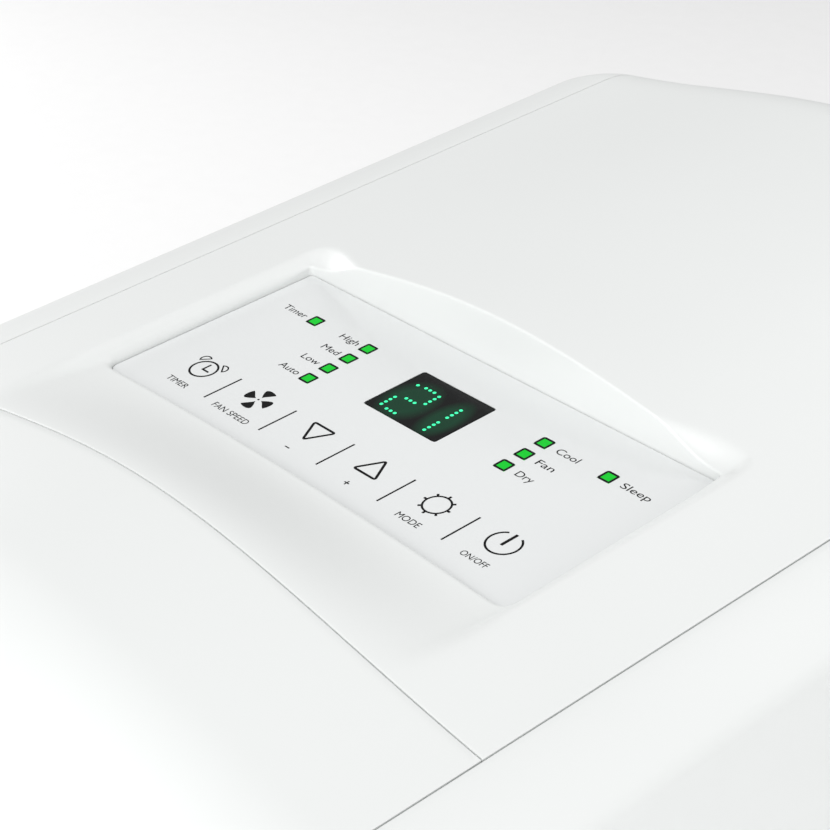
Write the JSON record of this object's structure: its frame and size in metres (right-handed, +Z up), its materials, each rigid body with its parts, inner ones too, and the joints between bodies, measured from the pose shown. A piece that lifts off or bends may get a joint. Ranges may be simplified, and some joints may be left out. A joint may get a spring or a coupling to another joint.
{
  "type": "portable air conditioner",
  "caption": "Floor-standing portable air conditioner on casters, with a crowned top, a recessed touch panel with a digit display, a front outlet flap and rear intakes.",
  "frame": {"origin": "on the floor under the middle of the object", "axes": "+Z up, -Y out of the front (the outlet side), +X to the machine's right as the front is looked at"},
  "size_m": [0.348, 0.486, 0.6965],
  "materials": {
    "base_pan": "moulded plastic",
    "board_tray": "moulded plastic",
    "caster_axle_back_left": "bright steel pin",
    "caster_axle_back_right": "bright steel pin",
    "caster_axle_front_left": "bright steel pin",
    "caster_axle_front_right": "bright steel pin",
    "caster_fork_back_left": "moulded plastic",
    "caster_fork_back_right": "moulded plastic",
    "caster_fork_front_left": "moulded plastic",
    "caster_fork_front_right": "moulded plastic",
    "caster_wheel_back_left": "nylon",
    "caster_wheel_back_right": "nylon",
    "caster_wheel_front_left": "nylon",
    "caster_wheel_front_right": "nylon",
    "compressor": "black painted steel",
    "condenser_coil": "finned aluminium",
    "control_board": "circuit board",
    "control_panel": "smooth hard-coated plastic with printed legends",
    "cord_hook_lower": "moulded ABS, plain",
    "cord_hook_upper": "moulded ABS, plain",
    "cord_inlet": "moulded rubber",
    "display_window": "smoked clear plastic",
    "drip_deck": "moulded ABS, plain",
    "electrical_box": "flame-retardant plastic",
    "evaporator_coil": "finned aluminium",
    "exhaust_collar": "moulded ABS, plain",
    "filter_lower": "moulded plastic",
    "filter_upper": "moulded plastic",
    "flap_motor": "pressed steel can",
    "front_cover": "moulded ABS, fine satin texture",
    "grille_lower": "moulded ABS, plain",
    "grille_upper": "moulded ABS, plain",
    "grip_left": "moulded ABS, plain",
    "grip_right": "moulded ABS, plain",
    "light_guide_mode": "clear plastic light guide",
    "light_guide_sleep": "clear plastic light guide",
    "light_guide_speed": "clear plastic light guide",
    "light_guide_timer": "clear plastic light guide",
    "lower_blower": "moulded ABS, plain",
    "lower_drain_cap": "moulded rubber",
    "lower_motor": "pressed steel can",
    "lower_scroll": "moulded ABS, plain",
    "outlet_duct": "moulded ABS, plain",
    "outlet_flap": "moulded ABS, fine satin texture",
    "rear_cover": "moulded ABS, fine satin texture",
    "side_panel_left": "moulded ABS, fine satin texture",
    "side_panel_right": "moulded ABS, fine satin texture",
    "suction_bottle": "black painted steel",
    "suction_pipe": "drawn copper",
    "top_cover": "moulded ABS, fine satin texture",
    "upper_blower": "moulded ABS, plain",
    "upper_drain_cap": "moulded rubber",
    "upper_motor": "pressed steel can",
    "upper_scroll": "moulded ABS, plain",
    "vane_1": "moulded ABS, plain",
    "vane_2": "moulded ABS, plain",
    "vane_3": "moulded ABS, plain",
    "vane_4": "moulded ABS, plain",
    "vane_5": "moulded ABS, plain",
    "vane_motor": "pressed steel can"
  },
  "bodies": {
    "chassis": {"base_pan": "base_pan", "board_tray": "board_tray", "compressor": "compressor", "condenser_coil": "condenser_coil", "control_board": "control_board", "control_panel": "control_panel", "cord_hook_lower": "cord_hook_lower", "cord_hook_upper": "cord_hook_upper", "cord_inlet": "cord_inlet", "display_window": "display_window", "drip_deck": "drip_deck", "electrical_box": "electrical_box", "evaporator_coil": "evaporator_coil", "exhaust_collar": "exhaust_collar", "flap_motor": "flap_motor", "front_cover": "front_cover", "grip_left": "grip_left", "grip_right": "grip_right", "light_guide_mode": "light_guide_mode", "light_guide_sleep": "light_guide_sleep", "light_guide_speed": "light_guide_speed", "light_guide_timer": "light_guide_timer", "lower_motor": "lower_motor", "lower_scroll": "lower_scroll", "outlet_duct": "outlet_duct", "rear_cover": "rear_cover", "side_panel_left": "side_panel_left", "side_panel_right": "side_panel_right", "suction_bottle": "suction_bottle", "suction_pipe": "suction_pipe", "top_cover": "top_cover", "upper_motor": "upper_motor", "upper_scroll": "upper_scroll", "vane_motor": "vane_motor"},
    "flap": {"outlet_flap": "outlet_flap"},
    "vane_1": {"vane_1": "vane_1"},
    "vane_2": {"vane_2": "vane_2"},
    "vane_3": {"vane_3": "vane_3"},
    "vane_4": {"vane_4": "vane_4"},
    "vane_5": {"vane_5": "vane_5"},
    "upper_blower_wheel": {"upper_blower": "upper_blower"},
    "lower_blower_wheel": {"lower_blower": "lower_blower"},
    "upper_intake": {"grille_upper": "grille_upper", "filter_upper": "filter_upper"},
    "lower_intake": {"grille_lower": "grille_lower", "filter_lower": "filter_lower"},
    "upper_cap": {"upper_drain_cap": "upper_drain_cap"},
    "lower_cap": {"lower_drain_cap": "lower_drain_cap"},
    "swivel_front_left": {"caster_fork_front_left": "caster_fork_front_left", "caster_axle_front_left": "caster_axle_front_left"},
    "wheel_front_left": {"caster_wheel_front_left": "caster_wheel_front_left"},
    "swivel_front_right": {"caster_fork_front_right": "caster_fork_front_right", "caster_axle_front_right": "caster_axle_front_right"},
    "wheel_front_right": {"caster_wheel_front_right": "caster_wheel_front_right"},
    "swivel_back_left": {"caster_fork_back_left": "caster_fork_back_left", "caster_axle_back_left": "caster_axle_back_left"},
    "wheel_back_left": {"caster_wheel_back_left": "caster_wheel_back_left"},
    "swivel_back_right": {"caster_fork_back_right": "caster_fork_back_right", "caster_axle_back_right": "caster_axle_back_right"},
    "wheel_back_right": {"caster_wheel_back_right": "caster_wheel_back_right"}
  },
  "joints": [
    {"name": "flap_tilt", "type": "hinge", "parent": "chassis", "child": "flap", "pos_m": [0, -0.2384, 0.50525], "axis": [1, 0, 0], "range_deg": [0, 70]},
    {"name": "vane_1_turn", "type": "hinge", "parent": "chassis", "child": "vane_1", "pos_m": [-0.096, -0.207, 0.538], "axis": [0, 0, 1], "range_deg": [-35, 35]},
    {"name": "vane_2_turn", "type": "hinge", "parent": "chassis", "child": "vane_2", "pos_m": [-0.048, -0.207, 0.538], "axis": [0, 0, 1], "range_deg": [-35, 35]},
    {"name": "vane_3_turn", "type": "hinge", "parent": "chassis", "child": "vane_3", "pos_m": [0, -0.207, 0.538], "axis": [0, 0, 1], "range_deg": [-35, 35]},
    {"name": "vane_4_turn", "type": "hinge", "parent": "chassis", "child": "vane_4", "pos_m": [0.048, -0.207, 0.538], "axis": [0, 0, 1], "range_deg": [-35, 35]},
    {"name": "vane_5_turn", "type": "hinge", "parent": "chassis", "child": "vane_5", "pos_m": [0.096, -0.207, 0.538], "axis": [0, 0, 1], "range_deg": [-35, 35]},
    {"name": "upper_blower_spin", "type": "hinge", "parent": "chassis", "child": "upper_blower_wheel", "pos_m": [0, -0.05, 0.506], "axis": [1, 0, 0], "continuous": true},
    {"name": "lower_blower_spin", "type": "hinge", "parent": "chassis", "child": "lower_blower_wheel", "pos_m": [-0.06, 0.056, 0.316], "axis": [1, 0, 0], "continuous": true},
    {"name": "upper_intake_pull", "type": "slide", "parent": "chassis", "child": "upper_intake", "axis": [0, 1, 0], "range_m": [0, 0.06]},
    {"name": "lower_intake_pull", "type": "slide", "parent": "chassis", "child": "lower_intake", "axis": [0, 1, 0], "range_m": [0, 0.06]},
    {"name": "upper_cap_pull", "type": "slide", "parent": "chassis", "child": "upper_cap", "axis": [0, 1, 0], "range_m": [0, 0.03]},
    {"name": "lower_cap_pull", "type": "slide", "parent": "chassis", "child": "lower_cap", "axis": [0, 1, 0], "range_m": [0, 0.03]},
    {"name": "swivel_turn_front_left", "type": "hinge", "parent": "chassis", "child": "swivel_front_left", "pos_m": [-0.125, -0.18, 0.04], "axis": [0, 0, 1], "continuous": true},
    {"name": "wheel_roll_front_left", "type": "hinge", "parent": "swivel_front_left", "child": "wheel_front_left", "pos_m": [-0.125, -0.169, 0.017], "axis": [1, 0, 0], "continuous": true},
    {"name": "swivel_turn_front_right", "type": "hinge", "parent": "chassis", "child": "swivel_front_right", "pos_m": [0.125, -0.18, 0.04], "axis": [0, 0, 1], "continuous": true},
    {"name": "wheel_roll_front_right", "type": "hinge", "parent": "swivel_front_right", "child": "wheel_front_right", "pos_m": [0.125, -0.169, 0.017], "axis": [1, 0, 0], "continuous": true},
    {"name": "swivel_turn_back_left", "type": "hinge", "parent": "chassis", "child": "swivel_back_left", "pos_m": [-0.125, 0.175, 0.04], "axis": [0, 0, 1], "continuous": true},
    {"name": "wheel_roll_back_left", "type": "hinge", "parent": "swivel_back_left", "child": "wheel_back_left", "pos_m": [-0.125, 0.186, 0.017], "axis": [1, 0, 0], "continuous": true},
    {"name": "swivel_turn_back_right", "type": "hinge", "parent": "chassis", "child": "swivel_back_right", "pos_m": [0.125, 0.175, 0.04], "axis": [0, 0, 1], "continuous": true},
    {"name": "wheel_roll_back_right", "type": "hinge", "parent": "swivel_back_right", "child": "wheel_back_right", "pos_m": [0.125, 0.186, 0.017], "axis": [1, 0, 0], "continuous": true}
  ],
  "couplings": [
    {"joint": "vane_2_turn", "follows": "vane_1_turn", "ratio": 1},
    {"joint": "vane_3_turn", "follows": "vane_1_turn", "ratio": 1},
    {"joint": "vane_4_turn", "follows": "vane_1_turn", "ratio": 1},
    {"joint": "vane_5_turn", "follows": "vane_1_turn", "ratio": 1}
  ]
}
